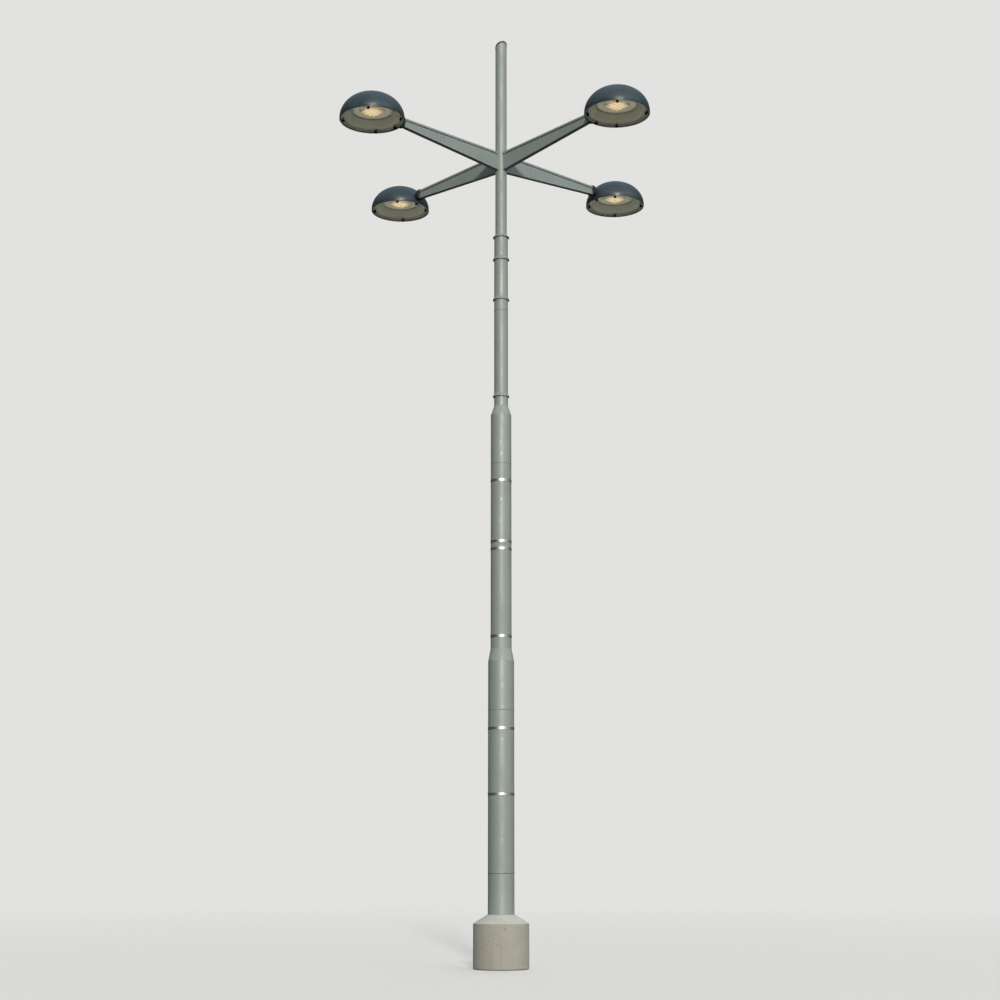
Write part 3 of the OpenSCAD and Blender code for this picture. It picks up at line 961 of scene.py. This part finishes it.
class STREETLIGHT_OT_stage(bpy.types.Operator):
    """Make the floor, the lights and the camera"""
    bl_idname = "streetlight.stage"
    bl_label = "Stage"

    def execute(self, context):
        look = context.scene.street_light_stage
        self.make_floor(look)
        self.make_world(context, look)
        self.make_suns(context, look)
        self.make_camera(context, look)
        context.scene.view_settings.view_transform = "Standard"
        return {"FINISHED"}

    def make_floor(self, look):
        form = bmesh.new()
        bmesh.ops.create_grid(form, x_segments=1, y_segments=1, size=FLOOR_SIZE)
        mesh = bpy.data.meshes.new("floor")
        form.to_mesh(mesh)
        form.free()
        mesh.materials.append(material_named("floor_finish", floor_finish, look))
        to_scene("floor", mesh)

    def make_suns(self, context, look):
        add_sun(
            context, "key", side=look.key_side, rise=look.key_rise,
            strength=look.key_strength, width=5, tint=(1.03, 1.0, 0.91))
        add_sun(
            context, "fill", side=look.key_side + math.radians(48), rise=math.radians(18),
            strength=0.45, width=60, tint=(0.86, 1.0, 1.04))
        back = add_sun(
            context, "back", side=look.azimuth + math.radians(172), rise=math.radians(20),
            strength=0.85, width=60, tint=(0.94, 1.0, 1.02))
        back.visible_glossy = False
        haze = add_sun(
            context, "haze", side=look.key_side, rise=math.radians(2),
            strength=0.8, width=24, tint=(1.0, 1.0, 0.95))
        haze.visible_diffuse = False

    def make_world(self, context, look):
        world = bpy.data.worlds.new("studio")
        context.scene.world = world
        world.use_nodes = True
        tree = world.node_tree
        tree.nodes.clear()
        mirrored = add_node(tree, "ShaderNodeLightPath").outputs["Is Glossy Ray"]
        towards = add_node(tree, "ShaderNodeTexCoord").outputs["Generated"]
        rise = step_up(tree, split(tree, towards)["Z"], *MIRROR_RISE)
        mirror_tint = mix_colour(tree, rise, MIRROR_FOOT_TINT, MIRROR_TINT)
        mirror_strength = math_node(
            tree, "MULTIPLY_ADD", rise, (MIRROR_SHARE - MIRROR_FOOT_SHARE) * look.sky_strength,
            MIRROR_FOOT_SHARE * look.sky_strength)
        plain_strength = add_node(
            tree, "ShaderNodeMix", {0: mirrored, 2: look.sky_strength, 3: mirror_strength},
            data_type="FLOAT").outputs[0]
        left = (-math.cos(look.azimuth), -math.sin(look.azimuth), 0)
        aside = vector_math(tree, "DOT_PRODUCT", {0: towards, 1: left}, "Value")
        kept = step_up(tree, aside, 0.0, 1.0, 1.0, 1.0 - look.dark_side)
        fill = add_node(tree, "ShaderNodeBackground", {
            "Color": mix_colour(tree, mirrored, SKY_TINT, mirror_tint),
            "Strength": times(tree, plain_strength, kept),
        })
        shown = add_node(tree, "ShaderNodeBackground", {"Color": look.backdrop, "Strength": 1.0})
        choose = add_node(tree, "ShaderNodeMixShader", {
            0: seen_rays(tree), 1: fill.outputs[0], 2: shown.outputs[0],
        })
        add_node(tree, "ShaderNodeOutputWorld", {"Surface": choose.outputs[0]})
        lay_out(tree)

    def make_camera(self, context, look):
        camera = bpy.data.cameras.new("camera")
        camera.lens = look.lens
        camera.sensor_width = 36
        view = bpy.data.objects.new("camera", camera)
        context.scene.collection.objects.link(view)
        aside, back = math.sin(look.azimuth), -math.cos(look.azimuth)
        view.location = (look.distance * aside, look.distance * back, look.height)
        view.rotation_euler = (QUARTER + look.pitch, 0, look.azimuth + look.turn)
        context.scene.camera = view


# ---- pieces ----

class STREETLIGHT_OT_plinth(bpy.types.Operator):
    """Make the weathered concrete plinth"""
    bl_idname = "streetlight.plinth"
    bl_label = "Plinth"

    def execute(self, context):
        look = context.scene.street_light_mast
        bore_r = node_size("bottom_tube")[0] / 2 + PLINTH_CLEARANCE
        socket_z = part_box("bottom_tube")[0][2]
        land_r = bore_r + look.plinth_land
        edge = look.plinth_edge
        side = ((PLINTH_R - edge, 0), (PLINTH_R, edge), (PLINTH_R, look.plinth_side))
        hidden = ((bore_r, PLINTH_H), (bore_r, socket_z), (0, socket_z))
        seen = dense_profile((*side, (land_r, PLINTH_H)), look.plinth_grain)
        profile = [(0, 0), *seen, *hidden]
        finish = material_named("plinth_finish", concrete, look.concrete, look.lit_crown, look.plinth_side)
        block = run_tree(
            weathered_tree(), "plinth_block", lathe_mesh("plinth_block", profile, PLINTH_TURNS),
            wave_depth=look.wave_depth, pit_depth=look.pit_depth, pit_scale=PIT_SCALE,
            inside_radius=bore_r + 1 * MM, seed=PLINTH_SEED, material=finish,
        )
        finish_piece(block, "plinth_block", ["plinth"])
        return {"FINISHED"}


class STREETLIGHT_OT_mast(bpy.types.Operator):
    """Finish the tubes, the cones, the collars and the cap"""
    bl_idname = "streetlight.mast"
    bl_label = "Mast"

    def execute(self, context):
        look = context.scene.street_light_mast
        paint = material_named("mast_finish", painted_steel, look.paint)
        for node in ("bottom_tube", "middle_tube", "upper_tube", "top_tube", "collar_rings"):
            paint_node(node, paint)
        # painted light: the cones take the mast paint made 1.1 times lighter, for the light on their
        # upward slopes
        lit_cone_paint = material_named("cone_finish", painted_steel, scaled(look.paint, 1.1), gleam=0.2)
        for node in ("lower_reducer", "upper_reducer"):
            paint_node(node, lit_cone_paint)
        paint_node("mast_cap", material_named("cap_finish", painted_steel, look.cap, gleam=0.2))
        paint_node("polished_bands", material_named("band_finish", polished_steel))
        return {"FINISHED"}


class STREETLIGHT_OT_seams(bpy.types.Operator):
    """Make the fine seams round the mast, each with a dark ring of painted shade under it"""
    bl_idname = "streetlight.seams"
    bl_label = "Seams"

    def execute(self, context):
        look = context.scene.street_light_mast
        paint = material_named("mast_finish", painted_steel, look.paint)
        # painted shade: a near-black copy of the paint for the ring under each seam
        grime_and_shade = material_named("grime_finish", blackened, scaled(look.paint, 0.3))
        tree = seam_tree()
        beads, lines = [], []
        for tube, places in SEAMS:
            radius = node_size(tube)[0] / 2
            for height, line_width in places:
                beads.append(run_tree(
                    tree, "seam", radius=radius, height=height, proud=look.seam_proud,
                    width=look.seam_width, seed=height, material=paint,
                ))
                lines.append(run_tree(
                    tree, "line", radius=radius, height=height - (look.seam_width + line_width) / 2,
                    proud=0.4 * MM, width=line_width, ripple=0.0, seed=height, material=grime_and_shade,
                ))
        finish_piece(joined("mast_seams", beads), "mast_seams")
        finish_piece(joined("seam_lines", lines), "seam_lines")
        return {"FINISHED"}


class STREETLIGHT_OT_arms(bpy.types.Operator):
    """Finish the four arms with their end plates and necks"""
    bl_idname = "streetlight.arms"
    bl_label = "Arms"

    def execute(self, context):
        look = context.scene.street_light_head
        paint_each("arm", material_named("arm_finish", painted_steel, look.arm_paint, gleam=0.2))
        paint_each("neck", material_named("neck_finish", cast_metal, look.casting))
        return {"FINISHED"}


class STREETLIGHT_OT_domes(bpy.types.Operator):
    """Make the enamelled domes"""
    bl_idname = "streetlight.domes"
    bl_label = "Domes"

    def execute(self, context):
        look = context.scene.street_light_head
        enamel = material_named("dome_finish", dome_enamel, look.enamel)
        mesh = run_tree(
            dome_tree(), "dome_shell", radius=HEAD_R, height=DOME_TOP_Z - RIM_TOP_Z,
            wall=look.dome_wall, foot=RIM_TOP_Z, material=enamel,
        )
        at_heads(mesh, "dome_shell", "dome_")
        return {"FINISHED"}


class STREETLIGHT_OT_pans(bpy.types.Operator):
    """Finish the rims and the pans over the glass"""
    bl_idname = "streetlight.pans"
    bl_label = "Rims and pans"

    def execute(self, context):
        look = context.scene.street_light_head
        paint_each("rim", material_named("rim_finish", rim_metal, look.rim, look.lit_rim_lip))
        paint_each("pan", material_named("pan_finish", pan_paint, look.pan, look.ceiling))
        return {"FINISHED"}


class STREETLIGHT_OT_lamps(bpy.types.Operator):
    """Finish the lamps' boards and make their fields of lenses"""
    bl_idname = "streetlight.lamps"
    bl_label = "Lamps"

    def execute(self, context):
        look = context.scene.street_light_head
        board = material_named("board_finish", lamp_light, look.lamp, 0.85 * look.lamp_strength, 0.06)
        lens = material_named("lens_finish", lamp_light, look.lamp, look.lamp_strength, 0.5)
        paint_each("lamp", board)
        count = int((LAMP_SIDE - 2 * look.lens_r) / look.lens_pitch) + 1
        mesh = run_tree(
            lens_tree(), "lamp_lenses", count=count, pitch=look.lens_pitch, radius=look.lens_r,
            drop=look.lens_drop, height=LAMP_Z, material=lens,
        )
        at_heads(mesh, "lamp_lenses")
        return {"FINISHED"}


class STREETLIGHT_OT_glass(bpy.types.Operator):
    """Finish the glass and the screws that hold it"""
    bl_idname = "streetlight.glass"
    bl_label = "Glass"

    def execute(self, context):
        look = context.scene.street_light_head
        paint_each("glass", material_named(
            "glass_finish", clear_glass, look.glass, look.line, look.frost,
            look.frost_inner - look.line_width, look.frost_inner))
        paint_each("screws", material_named("screw_finish", blackened, srgb(10, 10, 10)))
        return {"FINISHED"}


class STREETLIGHT_PT_panel(bpy.types.Panel):
    """Lists the steps that finish the street light"""
    bl_idname = "STREETLIGHT_PT_panel"
    bl_label = "Street Light"
    bl_space_type = "VIEW_3D"
    bl_region_type = "UI"
    bl_category = "Street Light"

    def draw(self, context):
        for step in STEPS:
            self.layout.operator(step.bl_idname)


STEPS = (
    STREETLIGHT_OT_stage, STREETLIGHT_OT_plinth, STREETLIGHT_OT_mast, STREETLIGHT_OT_seams,
    STREETLIGHT_OT_arms, STREETLIGHT_OT_domes, STREETLIGHT_OT_pans, STREETLIGHT_OT_lamps,
    STREETLIGHT_OT_glass,
)
CLASSES = (MastLook, HeadLook, StageLook, *STEPS, STREETLIGHT_PT_panel)


def register():
    for kind in CLASSES:
        bpy.utils.register_class(kind)
    bpy.types.Scene.street_light_mast = PointerProperty(type=MastLook)
    bpy.types.Scene.street_light_head = PointerProperty(type=HeadLook)
    bpy.types.Scene.street_light_stage = PointerProperty(type=StageLook)


def unregister():
    del bpy.types.Scene.street_light_mast
    del bpy.types.Scene.street_light_head
    del bpy.types.Scene.street_light_stage
    for kind in reversed(CLASSES):
        bpy.utils.unregister_class(kind)


def main():
    register()
    bpy.ops.streetlight.stage()
    bpy.ops.streetlight.plinth()
    bpy.ops.streetlight.mast()
    bpy.ops.streetlight.seams()
    bpy.ops.streetlight.arms()
    bpy.ops.streetlight.domes()
    bpy.ops.streetlight.pans()
    bpy.ops.streetlight.lamps()
    bpy.ops.streetlight.glass()


if __name__ == "__main__":
    main()
